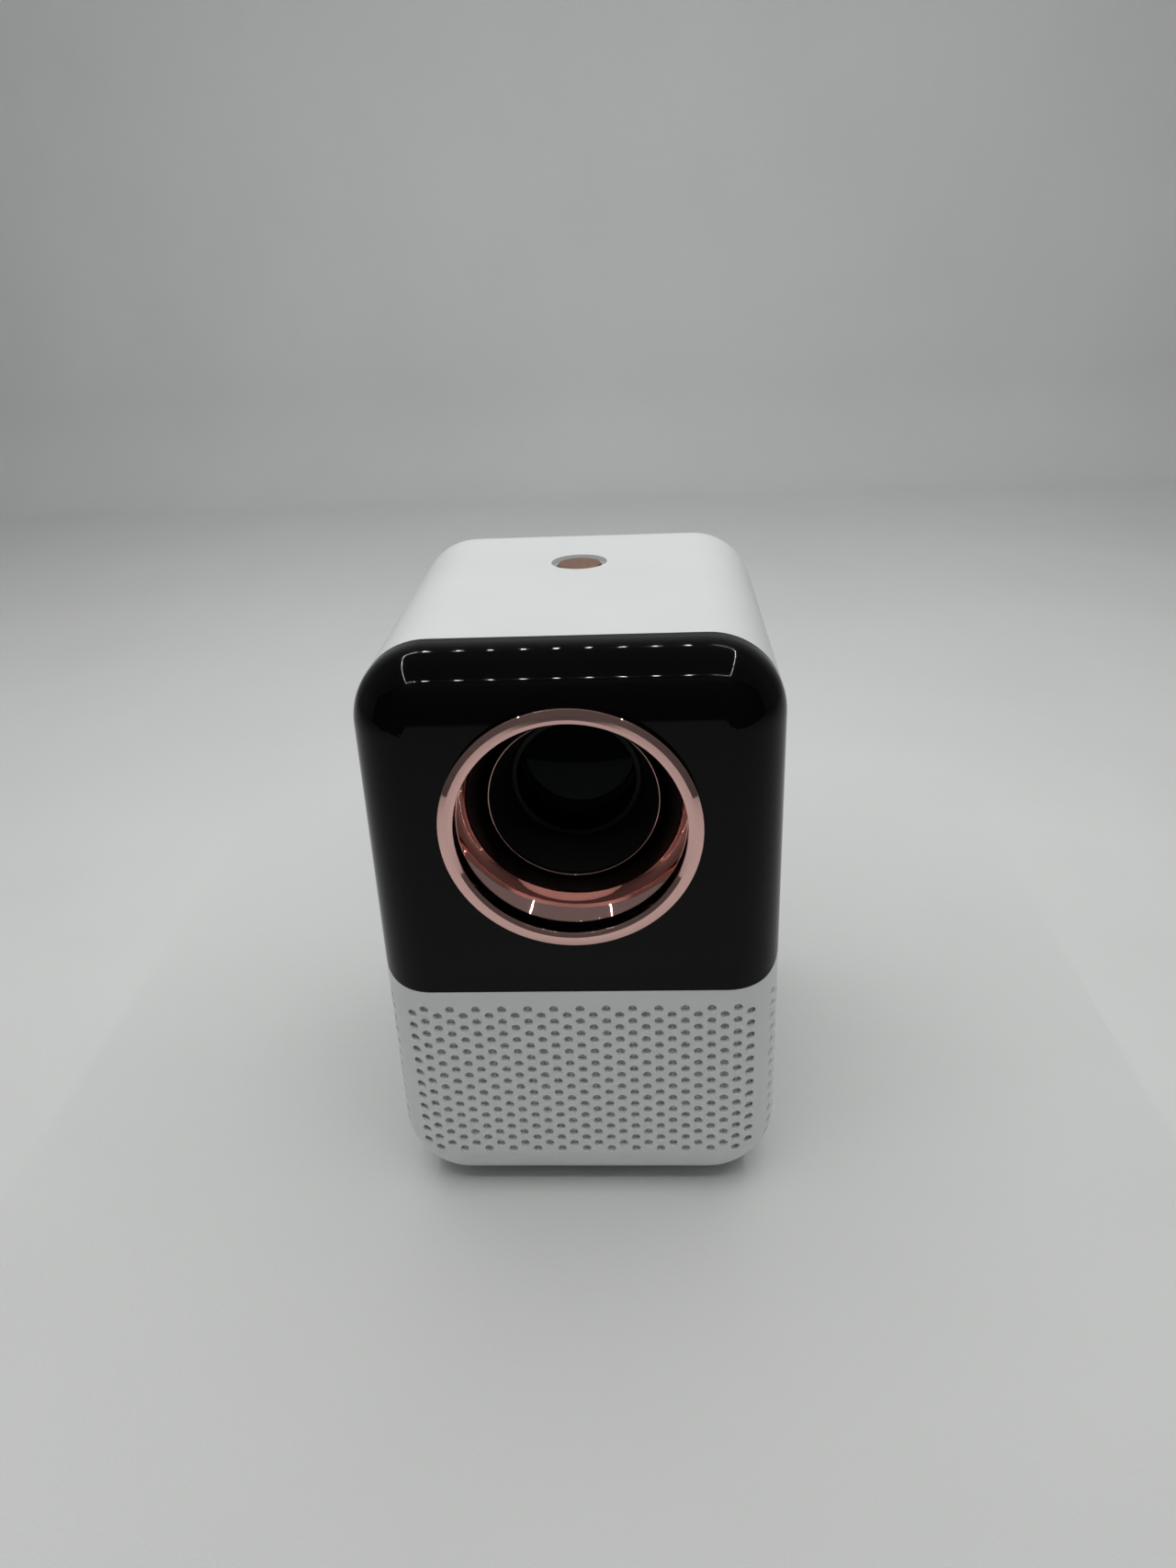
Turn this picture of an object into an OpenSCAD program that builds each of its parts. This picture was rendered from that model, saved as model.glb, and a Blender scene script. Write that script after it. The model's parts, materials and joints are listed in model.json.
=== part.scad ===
// Home projector: a tall rounded casing with a glossy front panel, a bowl-shaped lens ring,
// perforated speaker grilles, and the optics, cooling, sound and electronics inside.
// The lens looks along -Y, +Z is up, and the origin is on the surface it stands on,
// under the middle of its box.

/* [Casing] */
// Width of the casing
body_w = 106; // [105:0.5:108]
// Depth of the casing, without the lens ring
body_d = 123; // [122:0.5:124]
// Height of the casing, without the feet
body_h = 160; // [159:0.5:162]
// Radius of the four long corners
corner_r = 19; // [18.5:0.5:19.5]
// Radius of the edge round the front
front_r = 14.3; // [14:0.1:14.6]
// Radius of the edge round the back
back_r = 7.6; // [7:0.1:7.9]
// Thickness of the casing wall
wall = 2.2; // [2:0.1:2.3]
// Depth of the back cover, from its seam to the back
cover_d = 8; // [8:0.1:8.5]
// How far the rubber feet stand out below
foot_h = 2.8; // [2:0.1:4]

/* [Front panel] */
// How far the glossy panel wraps back over the top and sides
panel_wrap = 17.5; // [16:0.1:18]
// Height of its lower edge above the casing's bottom
panel_low = 68.4; // [68:0.1:70]
// Radius of its two lower corners, seen from the side
panel_corner_r = 20; // [19:0.5:21]
// Seam between the panel and the casing
panel_gap = 0.12; // [0.08:0.01:0.2]

/* [Perforation] */
// Diameter of each hole
hole_d = 2.4; // [2:0.1:2.6]
// Distance between the centres of neighbouring holes
hole_pitch = 4; // [3.9:0.05:4.05]
// Height of the top row above the casing's bottom
top_row = 62.65; // [62:0.1:63]
// Number of rows
rows = 25; // [21:2:25]
// Columns each side of the middle on the front
front_cols = 13; // [11:1:13]
// Columns on each side wall
side_cols = 28; // [22:1:28]
// Thickness of the perforated walls
grille_t = 1.2; // [1:0.1:1.4]

/* [Lens] */
// Height of the lens axis above the casing's bottom
axis_h = 116.4; // [115.5:0.1:117]
// Outer radius of the lens ring
ring_r = 32.4; // [32:0.1:32.6]
// How far the lens ring stands out in front
ring_proud = 2.4; // [2:0.1:3]
// Radius of the opening inside the ring
mouth_r = 28.5; // [28.4:0.05:28.6]
// Radius at the bowl's narrow end
throat_r = 21.9; // [21.8:0.1:22.2]
// Focus travel of the lens each way
focus_travel = 1.2; // [0.8:0.1:1.2]
// Turn of the focus ring each way, in degrees
focus_turn = 30; // [24:1:30]

/* [Button] */
// Diameter of the power button
button_d = 12.7; // [12:0.1:13]
// Diameter of the recess around it
recess_d = 16.3; // [16:0.1:17]
// How far the button presses in
button_travel = 0.5; // [0.3:0.1:0.6]
// Distance of the button from the casing's front face
button_back = 85; // [84:0.5:86]

/* [Hidden] */
$fn = 64;
eps = 0.01;

// Where the casing lies
front_y = -(body_d - ring_proud) / 2;
back_y = front_y + body_d;
seam_y = back_y - cover_d;
bottom_z = foot_h;
top_z = foot_h + body_h;
floor_z = bottom_z + wall;
axis_z = foot_h + axis_h;
half_w = body_w / 2;
far = 300;

// Perforation
half_col = hole_pitch * sqrt(3) / 2;
half_row = hole_pitch / 2;
first_row_z = bottom_z + top_row;
last_row_z = first_row_z - (rows - 1) * half_row;
side_first_y = front_y + 7.5;
side_last_y = side_first_y + (side_cols - 1) * half_col;
grille_margin = 2;
grille_top = first_row_z + grille_margin;
grille_bottom = last_row_z - grille_margin;
front_grille_w = 2 * (front_cols * half_col + 1.8);
cloth_t = 0.6;

// Screws
screw_r = 1.5;
screw_head_r = 2.7;
boss_r = 3.5;
corner_reach = 8.5 * cos(45);
boss_x = half_w - corner_r + corner_reach;
boss_z = [bottom_z + corner_r - corner_reach, top_z - corner_r + corner_reach];
rear_screw_l = 12;

// Base
base_w = 66;
base_y = [-44, 50];
base_lug_x = 29.6;
base_lug_y = [-40, 20];
base_lug_h = 5;
foot_r = 6;
foot_at = [26, 31];
tripod_y = -2;
tripod_r = 2.6;
tripod_l = 8;

// Chassis
deck_z = 69.5;
sheet = 1.5;
bulkhead_y = -14;
fan_wall_y = 44;
tab_x = 30;
tab_y = [-9, 40.5];
base_screw_at = [
    [base_lug_x, base_lug_y[0], 4.6], [base_lug_x, base_lug_y[1], 4.6],
    [tab_x, tab_y[0], 2.4], [tab_x, tab_y[1], 2.4]
];

// Lens ring: a flat band between two sloping, rounded edges, let a little into the panel
ring_flat = [29.7, 30.85];
ring_slope = 20;
edge_round = 0.35;
ring_seat = 0.4;

// Bowl and lens; the bowl's wall is an arc between two slopes, in degrees from the lens axis
hub_hole_r = 29.9;
collar_r = hub_hole_r - 0.1;
bowl_front_y = front_y + 3.3;
bowl_slope = [40, 15];
bowl_curve = (mouth_r - throat_r) / (cos(bowl_slope[1]) - cos(bowl_slope[0]));
bowl_centre = [mouth_r + bowl_curve * cos(bowl_slope[0]), bowl_front_y + bowl_curve * sin(bowl_slope[0])];
throat_y = bowl_front_y + bowl_curve * (sin(bowl_slope[0]) - sin(bowl_slope[1]));
hood_y = throat_y + focus_travel + 0.3;
hood_back_y = front_y + 29.5;
hood_r = 22.6;
barrel_r = 19;
glass_r = 17.2;
glass_y = front_y + 30.5;
barrel_back_y = front_y + 48;
run_gap = 0.05;
mount_r = 21.5;
flange_y = [front_y + 50.3, front_y + 53.3];
pin_y = front_y + 38.3;
pin_r = 1.2;
pin_angles = [90, 210, 330];

// Focus gears
gear_mod = 0.8;
ring_teeth = 64;
pinion_teeth = 18;
gear_addendum = 0.55;
gear_dedendum = 0.85;
gear_backlash = 0.12;
gear_y = [front_y + 43.3, front_y + 47.3];
pinion_x = gear_mod * (ring_teeth + pinion_teeth) / 2;
shaft_r = 1;

// Optical engine
engine_y = [flange_y[1], flange_y[1] + 41];
engine_x = [-42, 18];
engine_z = [axis_z - 17, axis_z + 15];
dmd_y = engine_y[0] + 25;
channel_x = -26;
prism_y = [engine_y[0] + 4, engine_y[0] + 21];
fold_y = (prism_y[0] + prism_y[1]) / 2;
led_block_t = 5.5;
pipe_r = 2.5;
pipe_y = engine_y[1] + 2.5 + led_block_t / 2;
dichroic_y = engine_y[0] + 30;
sink_z = [22, 66];
sink_base_t = 4;
sink_y = [6, 42];

// Boards and ports
board_z = 6.5;
board_t = 1.6;
board_top = board_z + board_t;
board_y = [8, 58];
hdmi_x = -5;
usb_x = 11;
audio_x = 22;
dc_x = -20;
audio_z = board_top + 2.8;
dc_z = board_top + 6.5;

// Fan
fan_size = 50;
fan_z = 44.5;
fan_y = [fan_wall_y + sheet, back_y - wall - 0.3];
duct_r = 23.6;
hub_r = 10.5;
blades = 9;

// Speaker
speaker_z = 42;
speaker_y = front_y + 5.3;
box_d = 38;
cone_r = 19;

// Button
button_y = front_y + button_back;
button_top = top_z - 0.45;
bezel_top = top_z - 1.1;
button_gap = 0.25;
switch_top = top_z - 8.6;
cap_low = top_z - wall - 3.2;

// Colours
shell_white = "#e4e6e6";
gloss_black = "#0c0c0e";
rose_satin = "#c9938c";
rose_mirror = "#b5786c";
matte_black = "#1a1a1b";
steel = "#a9acb0";
alloy = "#b9bcc0";
copper = "#b56a45";
board_green = "#1e5b3a";
glass_tint = "#8fa3b3";
plastic_grey = "#9a9da0";

// ---------- shared shapes ----------

// The corner of a square outside a quarter circle
module corner_cut(r) {
    difference() {
        square([r + 1, r + 1]);
        circle(r);
    }
}

// Section through the rounded front and back edges, from the centre of a corner outwards
module edge_profile(r, d, rf, rb) {
    difference() {
        square([r, d]);
        translate([r - rf, rf]) mirror([0, 1]) corner_cut(rf);
        translate([r - rb, d - rb]) corner_cut(rb);
    }
}

// The casing's outer form, moved in from its surface by inset
module casing(inset = 0) {
    r = corner_r - inset;
    d = body_d - 2 * inset;
    cx = half_w - corner_r;
    cz = body_h / 2 - corner_r;
    translate([0, front_y + inset, bottom_z + body_h / 2]) rotate([-90, 0, 0]) {
        for (a = [0, 180]) rotate([0, 0, a]) {
            translate([cx, cz, 0])
                rotate_extrude(angle = 90) edge_profile(r, d, front_r - inset, back_r - inset);
            translate([-cx, cz, 0]) rotate([0, 0, 90])
                rotate_extrude(angle = 90) edge_profile(r, d, front_r - inset, back_r - inset);
            translate([cx, cz, 0]) rotate([90, 0, 0])
                linear_extrude(2 * cz) edge_profile(r, d, front_r - inset, back_r - inset);
            translate([-cx, cz, 0]) rotate([90, 0, 90])
                linear_extrude(2 * cx) edge_profile(r, d, front_r - inset, back_r - inset);
        }
        translate([-cx, -cz, 0]) cube([2 * cx, 2 * cz, d]);
    }
}

// The casing wall between two depths below its surface
module skin(outer, inner) {
    difference() {
        casing(outer);
        casing(inner);
    }
}

// A box from its two opposite corners
module block(low, high) {
    translate(low) cube(high - low);
}

// A rod along Y from y0 to y1
module rod_y(r, y0, y1, x = 0, z = 0) {
    translate([x, y0, z]) rotate([-90, 0, 0]) cylinder(h = y1 - y0, r = r);
}

// A rod along X from x0 to x1
module rod_x(r, x0, x1, y = 0, z = 0) {
    translate([x0, y, z]) rotate([0, 90, 0]) cylinder(h = x1 - x0, r = r);
}

// A rod along Z from z0 to z1
module rod_z(r, z0, z1, x = 0, y = 0) {
    translate([x, y, z0]) cylinder(h = z1 - z0, r = r);
}

// A turned part on the lens axis, from a section drawn as [radius, y]
module turned_section() {
    translate([0, 0, axis_z]) rotate([-90, 0, 0]) rotate_extrude() children();
}

// A turned part on the lens axis, from points of [radius, y]
module turned(points) turned_section() polygon(points);

// The part of the casing that the front panel takes up, grown by e
module panel_zone(e) {
    y1 = front_y + panel_wrap + e;
    z0 = bottom_z + panel_low - e - 0.15;
    r = panel_corner_r + e;
    rotate([90, 0, 90]) translate([0, 0, -body_w]) linear_extrude(2 * body_w) {
        translate([front_y - 10, z0 + r]) square([y1 - front_y + 10, body_h]);
        translate([front_y - 10, z0]) square([y1 - r - front_y + 10, r + 1]);
        intersection() {
            translate([y1 - r, z0 + r]) circle(r);
            translate([y1 - r, z0]) square([r, r]);
        }
    }
}

module front_window() {
    block([-front_grille_w / 2, front_y - 1, grille_bottom], [front_grille_w / 2, front_y + 9, grille_top]);
}

module side_window(side) {
    x = [side * (half_w - 6.1), side * (half_w + 1)];
    block([min(x), side_first_y - 1.9, grille_bottom], [max(x), side_last_y + 2.4, grille_top]);
}

module screw(r, l, head_r, head_h) {
    difference() {
        union() {
            rod_z(r, 0, l);
            rod_z(head_r, l - eps, l + head_h);
        }
        for (a = [0, 90]) rotate([0, 0, a])
            block([-head_r * 0.6, -0.35, l + head_h * 0.4], [head_r * 0.6, 0.35, l + head_h + 1]);
    }
}

// Involute angle, in degrees
function inv(a) = tan(a) * 180 / PI - a;
function tooth_half_angle(z, r) =
    let (rp = gear_mod * z / 2, rb = rp * cos(20))
    90 / z + inv(20) - inv(acos(min(1, rb / max(r, rb)))) - gear_backlash / 2 / rp * 180 / PI;
function tooth_radii(z) =
    let (rp = gear_mod * z / 2)
    [rp - gear_dedendum, rp, rp + gear_addendum];

// Outline of a spur gear with a tooth on +X
module gear_outline(z) {
    radii = tooth_radii(z);
    polygon([for (k = [0:z - 1]) for (i = [0:5])
        let (r = radii[i < 3 ? i : 5 - i],
             a = 360 * k / z + (i < 3 ? -1 : 1) * tooth_half_angle(z, r))
        [r * cos(a), r * sin(a)]]);
}

// ---------- casing ----------

module main_shell() color(shell_white) {
    difference() {
        union() {
            skin(0, wall);
            // bosses for the back cover's screws
            for (sx = [-1, 1], sz = [-1, 1]) {
                z = sz < 0 ? boss_z[0] : boss_z[1];
                rod_y(boss_r, seam_y - 8, seam_y, sx * boss_x, z);
                translate([sx * boss_x, 0, z]) rotate([0, -sx * sz * 45, 0]) mirror([sx < 0 ? 1 : 0, 0, 0])
                    block([0, seam_y - 8, -1.5], [corner_r - wall - 8, seam_y, 1.5]);
            }
            // lugs for the base plate's screws
            for (sx = [-1, 1], y = base_lug_y) {
                rod_z(boss_r, floor_z, floor_z + base_lug_h, sx * base_lug_x, y);
                translate([sx * (base_lug_x + 4.5), y, floor_z + base_lug_h / 2 - 0.2])
                    cube([9, 4, base_lug_h + 0.4], center = true);
            }
        }
        block([-far, seam_y, -far], [far, far, far]);
        panel_zone(0);
        front_window();
        for (side = [-1, 1]) side_window(side);
        block([-base_w / 2, base_y[0], -1], [base_w / 2, base_y[1], floor_z]);
        rod_z(recess_d / 2, bezel_top - 10, top_z + 1, 0, button_y);
        for (sx = [-1, 1], z = boss_z) rod_y(screw_r - 0.2, seam_y - 7, seam_y + 1, sx * boss_x, z);
        for (sx = [-1, 1], y = base_lug_y)
            rod_z(screw_r - 0.2, floor_z - 1, floor_z + base_lug_h - 1, sx * base_lug_x, y);
    }
}

module front_panel() color(gloss_black) {
    difference() {
        union() {
            intersection() {
                skin(0, wall);
                panel_zone(-panel_gap);
            }
            // lip behind the casing's edge
            intersection() {
                skin(wall + 0.1, wall + 1.3);
                difference() {
                    panel_zone(2.6);
                    panel_zone(-3);
                }
            }
            intersection() {
                skin(wall - 0.1, wall + 1.3);
                difference() {
                    panel_zone(-panel_gap);
                    panel_zone(-3);
                }
            }
        }
        rod_y(hub_hole_r, front_y - 5, front_y + 20, 0, axis_z);
        rod_y(ring_r + 0.05, front_y - 5, front_y + ring_seat, 0, axis_z);
    }
}

module rear_cover() color(shell_white) {
    lip_y = seam_y - 2;
    slot_w = 2.8;
    slot_l = 46;
    difference() {
        union() {
            intersection() {
                skin(0, wall);
                block([-far, seam_y + 0.1, 0], [far, far, far]);
            }
            // lip inside the casing's edge
            intersection() {
                skin(wall + 0.1, wall + 1.4);
                block([-half_w + 20, lip_y, 0], [half_w - 20, back_y - back_r, far]);
            }
            intersection() {
                skin(wall - 0.2, wall + 1.4);
                block([-half_w + 20, seam_y + 0.1, 0], [half_w - 20, back_y - back_r, far]);
            }
            for (sx = [-1, 1], z = boss_z) rod_y(boss_r, seam_y + 0.1, back_y - 0.7, sx * boss_x, z);
        }
        // exhaust slots
        for (i = [-4:4]) translate([0, back_y, fan_z + i * 5.2]) {
            w = slot_l - abs(i) * 2.4;
            block([-w / 2, -wall - 2, -slot_w / 2], [w / 2, 1, slot_w / 2]);
            for (s = [-1, 1]) rod_y(slot_w / 2, -wall - 2, 1, s * w / 2, 0);
        }
        // port openings
        block([hdmi_x - 7.9, seam_y - 3, board_top - 0.3], [hdmi_x + 7.9, back_y + 1, board_top + 6.2]);
        block([usb_x - 7, seam_y - 3, board_top - 0.3], [usb_x + 7, back_y + 1, board_top + 7.1]);
        rod_y(3.3, seam_y - 3, back_y + 1, audio_x, audio_z);
        rod_y(4.4, back_y - wall - 1, back_y + 1, dc_x, dc_z);
        block([dc_x - 4.8, seam_y - 3, board_top - 0.3], [dc_x + 4.8, back_y - wall, board_top + 11.3]);
        for (sx = [-1, 1], z = boss_z) {
            rod_y(screw_r + 0.15, seam_y - 1, back_y + 1, sx * boss_x, z);
            rod_y(screw_head_r + 0.3, back_y - 3, back_y + 1, sx * boss_x, z);
        }
    }
}

module base_plate() color(shell_white) {
    gap = 0.15;
    difference() {
        union() {
            block([-base_w / 2 + gap, base_y[0] + gap, bottom_z],
                  [base_w / 2 - gap, base_y[1] - gap, floor_z]);
            rod_z(7.5, bottom_z, bottom_z + tripod_l, 0, tripod_y);
        }
        rod_z(5, 0, floor_z + 20, 0, tripod_y);
        for (sx = [-1, 1], sy = [-1, 1]) {
            rod_z(2, 0, far, sx * foot_at[0], sy * foot_at[1]);
        }
        for (sx = [-1, 1], p = base_screw_at) {
            rod_z(screw_r + 0.15, 0, far, sx * p[0], p[1]);
            rod_z(screw_head_r + 0.2, 0, bottom_z + 1.1, sx * p[0], p[1]);
        }
    }
}

// Hexagonal field of holes along Y, on the front
module front_holes() {
    for (j = [0:rows - 1], i = [-front_cols:front_cols])
        if ((i + j) % 2 == 0)
            rod_y(hole_d / 2, front_y - 1, front_y + 9, i * half_col, first_row_z - j * half_row);
}

// Hexagonal field of holes along X, on one side
module side_holes(side) {
    x = [side * (half_w - 7), side * (half_w + 1)];
    for (j = [0:rows - 1], i = [0:side_cols - 1])
        if ((i + j) % 2 == 0)
            rod_x(hole_d / 2, min(x), max(x), side_first_y + i * half_col, first_row_z - j * half_row);
}

module front_grille() color(shell_white) {
    difference() {
        intersection() {
            skin(0, grille_t);
            front_window();
        }
        front_holes();
    }
}

module side_grille(side) color(shell_white) {
    difference() {
        intersection() {
            skin(0, grille_t);
            side_window(side);
        }
        side_holes(side);
    }
}

module grille_cloth() color(plastic_grey) {
    intersection() {
        skin(grille_t, grille_t + cloth_t);
        union() {
            front_window();
            for (side = [-1, 1]) side_window(side);
        }
    }
}

module rubber_feet() color(matte_black) {
    for (sx = [-1, 1], sy = [-1, 1]) translate([sx * foot_at[0], sy * foot_at[1], 0]) {
        cylinder(h = foot_h, r = foot_r);
        cylinder(h = foot_h + wall, r = 1.95);
    }
}

module tripod_insert() color("#c8a85a") {
    difference() {
        rod_z(5, bottom_z, bottom_z + tripod_l, 0, tripod_y);
        rod_z(tripod_r, 0, far, 0, tripod_y);
    }
}

module base_screws() color(steel) {
    for (sx = [-1, 1], p = base_screw_at)
        translate([sx * p[0], p[1], bottom_z + 1.1 + p[2] - 2 * eps]) mirror([0, 0, 1])
            screw(screw_r - 0.25, p[2], screw_head_r, 1);
}

module rear_screws() color(steel) {
    for (sx = [-1, 1], z = boss_z)
        translate([sx * boss_x, back_y - 3 - rear_screw_l + 0.01, z]) rotate([-90, 0, 0])
            screw(screw_r - 0.25, rear_screw_l, screw_head_r, 1.8);
}

// ---------- lens ----------

// Half of the ring's section in front, from flat_r on its band to its rounded edge at end_r
function ring_edge(flat_r, end_r, y) =
    let (s = sign(end_r - flat_r), c_r = end_r - s * edge_round,
         drop = (abs(c_r - flat_r) + edge_round * sin(ring_slope)) * tan(ring_slope),
         c_y = y + drop + edge_round * cos(ring_slope))
    [for (i = [0:4]) let (a = ring_slope + (90 - ring_slope) * i / 4)
        [c_r + s * edge_round * sin(a), c_y - edge_round * cos(a)]];

module lens_ring() color(rose_satin) {
    face_y = front_y - ring_proud;
    seat_y = front_y + ring_seat;
    turned(concat(
        [[ring_flat[0], face_y], [ring_flat[1], face_y]],
        ring_edge(ring_flat[1], ring_r, face_y),
        [[ring_r, seat_y], [collar_r, seat_y], [collar_r, bowl_front_y], [mouth_r, bowl_front_y]],
        [for (i = [4:-1:0]) ring_edge(ring_flat[0], mouth_r, face_y)[i]]
    ));
}

module lens_bowl() color(rose_mirror) {
    y = bowl_front_y + 0.05;
    turned_section() intersection() {
        translate(bowl_centre) circle(bowl_curve, $fn = 256);
        polygon([
            [throat_r - 1, y], [collar_r, y], [collar_r, y + 2.5], [collar_r - 2.2, y + 2.5],
            [throat_r + 1.3, throat_y], [throat_r - 1, throat_y]
        ]);
    }
}

module lens_barrel() color(matte_black) {
    difference() {
        turned([
            [glass_r + 0.1, glass_y - 0.6], [hood_r - 0.9, hood_y], [hood_r, hood_y],
            [hood_r, hood_back_y], [barrel_r, hood_back_y], [barrel_r, barrel_back_y],
            [12.4, barrel_back_y], [12.4, barrel_back_y - 3], [14.1, barrel_back_y - 3],
            [14.1, barrel_back_y - 8], [glass_r + 0.1, barrel_back_y - 9.5]
        ]);
        for (a = pin_angles) cam_pin(a, 15.5, barrel_r + 5);
    }
}

// A radial pin at angle a round the lens axis, from radius r0 to r1
module cam_pin(a, r0, r1, r = pin_r, y = pin_y) {
    translate([0, y, axis_z]) rotate([0, -a, 0]) rod_x(r, r0, r1);
}

module cam_pins() color(steel) {
    intersection() {
        for (a = pin_angles) cam_pin(a, barrel_r - 1.6, mount_r + 2.3);
        rod_y(mount_r + 2.2, pin_y - 5, pin_y + 5, 0, axis_z);
    }
}

// A lens between two spherical faces, as a turned part; the bulges are positive outwards
module glass_element(r, y_front, y_back, bulge_front, bulge_back) {
    steps = 6;
    function arc(bulge, rr) = bulge * (1 - pow(rr / r, 2));
    turned(concat(
        [for (i = [0:steps]) [r * i / steps, y_front - arc(bulge_front, r * i / steps)]],
        [for (i = [steps:-1:0]) [r * i / steps, y_back + arc(bulge_back, r * i / steps)]]
    ));
}

module front_lens() color(glass_tint) glass_element(glass_r, glass_y, glass_y + 5, 1.9, 0.6);

module middle_lens() color(glass_tint)
    glass_element(14, barrel_back_y - 7.8, barrel_back_y - 3.6, 0.8, 0.4);

module rear_lens() color(glass_tint)
    glass_element(11, flange_y[0] - 0.4, flange_y[1] - 0.6, 0.5, 0.5);

module lens_mount() color(matte_black) {
    bore = barrel_r + run_gap;
    difference() {
        union() {
            rod_y(mount_r, pin_y - 5, flange_y[0] + 0.5, 0, axis_z);
            rod_y(mount_r + 1.5, gear_y[1] + 0.3, flange_y[0] + 0.5, 0, axis_z);
            block([-23, flange_y[0], axis_z - 20], [pinion_x + 9, flange_y[1], axis_z + 20]);
        }
        rod_y(bore, pin_y - 6, flange_y[0] - 0.6, 0, axis_z);
        rod_y(11.05, flange_y[0] - 3, flange_y[1] + 1, 0, axis_z);
        // straight slots that keep the pins from turning
        for (a = pin_angles) {
            for (s = [-1, 1])
                cam_pin(a, barrel_r - 1, mount_r + 1, pin_r + 0.1, pin_y + s * (focus_travel + 0.3));
            translate([0, pin_y, axis_z]) rotate([0, -a, 0])
                block([barrel_r - 1, -focus_travel - 0.3, -pin_r - 0.1],
                      [mount_r + 1, focus_travel + 0.3, pin_r + 0.1]);
        }
        // groove for the retainer
        difference() {
            rod_y(mount_r + 1, pin_y - 4.4, pin_y - 3.4, 0, axis_z);
            rod_y(mount_r - 0.6, pin_y - 5, pin_y - 3, 0, axis_z);
        }
        // motor boss hole and corner screw holes
        rod_y(3.1, flange_y[0] - 1, flange_y[1] + 1, pinion_x, axis_z);
        block([engine_x[1] + 6, flange_y[0] - 1, axis_z - 21], [pinion_x + 10, flange_y[1] + 1, axis_z - 10]);
        block([engine_x[1] + 6, flange_y[0] - 1, axis_z + 10], [pinion_x + 10, flange_y[1] + 1, axis_z + 21]);
    }
}

module focus_ring() color("#2c2c2e") {
    inner = mount_r + run_gap;
    reach = focus_turn + 2;
    segments = 8;
    slope = atan(focus_travel / (focus_turn * PI / 180 * (mount_r + 1.25)));
    difference() {
        union() {
            rod_y(mount_r + 2.5, pin_y - 3.2, gear_y[1], 0, axis_z);
            translate([0, gear_y[0], axis_z]) rotate([-90, 0, 0])
                linear_extrude(gear_y[1] - gear_y[0]) gear_outline(ring_teeth);
        }
        rod_y(inner, pin_y - 6, gear_y[1] + 1, 0, axis_z);
        // three cam slots: a turn of the ring moves the pins along the axis
        for (a = pin_angles) {
            for (i = [0:segments]) {
                turn = -reach + 2 * reach * i / segments;
                cam_pin(a + turn, mount_r - 1, mount_r + 4, pin_r + 0.15,
                    pin_y - focus_travel * turn / focus_turn);
            }
            for (i = [0:segments - 1]) {
                turn = -reach + 2 * reach * (i + 0.5) / segments;
                w = (mount_r + 2.5) * tan(reach / segments);
                translate([0, pin_y - focus_travel * turn / focus_turn, axis_z])
                    rotate([0, -a - turn, 0]) rotate([slope, 0, 0])
                        block([mount_r - 1, -pin_r - 0.15, -w], [mount_r + 4, pin_r + 0.15, w]);
            }
        }
    }
}

module retainer_ring() color(steel) {
    difference() {
        rod_y(mount_r + 1.6, pin_y - 4.3, pin_y - 3.5, 0, axis_z);
        rod_y(mount_r - 0.55, pin_y - 5, pin_y - 3, 0, axis_z);
        block([-1.5, pin_y - 5, axis_z - mount_r - 3], [1.5, pin_y - 3, axis_z]);
    }
}

module focus_motor() color(steel) {
    difference() {
        union() {
            rod_y(7.5, flange_y[1], flange_y[1] + 16, pinion_x, axis_z);
            rod_y(3, flange_y[0], flange_y[1] + 1, pinion_x, axis_z);
        }
        rod_y(shaft_r + run_gap, flange_y[0] - 1, flange_y[1] + 13, pinion_x, axis_z);
    }
}

module motor_shaft() color(steel)
    rod_y(shaft_r, gear_y[0] - 0.5, flange_y[1] + 12, pinion_x, axis_z);

module focus_pinion() color("#c8a85a") {
    translate([pinion_x, gear_y[0] - 0.3, axis_z]) rotate([-90, 0, 0]) difference() {
        linear_extrude(gear_y[1] - gear_y[0] + 0.6) rotate([0, 0, 180 + 180 / pinion_teeth])
            gear_outline(pinion_teeth);
        translate([0, 0, -1]) cylinder(h = 10, r = shaft_r);
    }
}

// ---------- optical engine ----------

module engine_housing() color(alloy) {
    t = 2;
    x = engine_x;
    y = engine_y;
    z = engine_z;
    difference() {
        union() {
            block([x[0], y[0], z[0]], [x[1], dmd_y, z[1]]);
            block([x[0], y[0], z[0]], [-10, y[1], z[1]]);
            // cast legs down to the chassis
            for (p = [[x[0] + 3, y[0] + 3], [x[1] - 3, y[0] + 3], [x[0] + 3, y[1] - 3], [-13, y[1] - 3]])
                rod_z(3, deck_z + sheet, z[0] + 1, p[0], p[1]);
        }
        block([x[0] + t, y[0] + t, z[0] + t], [x[1] - t, dmd_y - t, z[1] + 1]);
        block([x[0] + t, y[0] + t, z[0] + t], [-10 - t, y[1] - t, z[1] + 1]);
        rod_y(11.5, y[0] - 1, y[0] + t + 1, 0, axis_z);
        // light windows: the mirror chip at the back, the lamps at the back and the side
        block([-7, dmd_y - t - 1, axis_z - 5.5], [7, dmd_y + 1, axis_z + 5.5]);
        rod_y(7, y[1] - t - 1, y[1] + 1, channel_x, axis_z);
        rod_x(7, x[0] - 1, x[0] + t + 1, dichroic_y, axis_z);
    }
}

module engine_cover() color(alloy) {
    y = engine_y;
    z = engine_z[1];
    block([engine_x[0], y[0], z], [engine_x[1], dmd_y, z + 2]);
    block([engine_x[0], y[0], z], [-10, y[1], z + 2]);
    for (i = [0:5]) {
        x = engine_x[0] + 6 + i * 5;
        block([x, y[0] + 6, z + 1], [x + 1.5, dmd_y - 4, z + 5]);
    }
}

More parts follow.
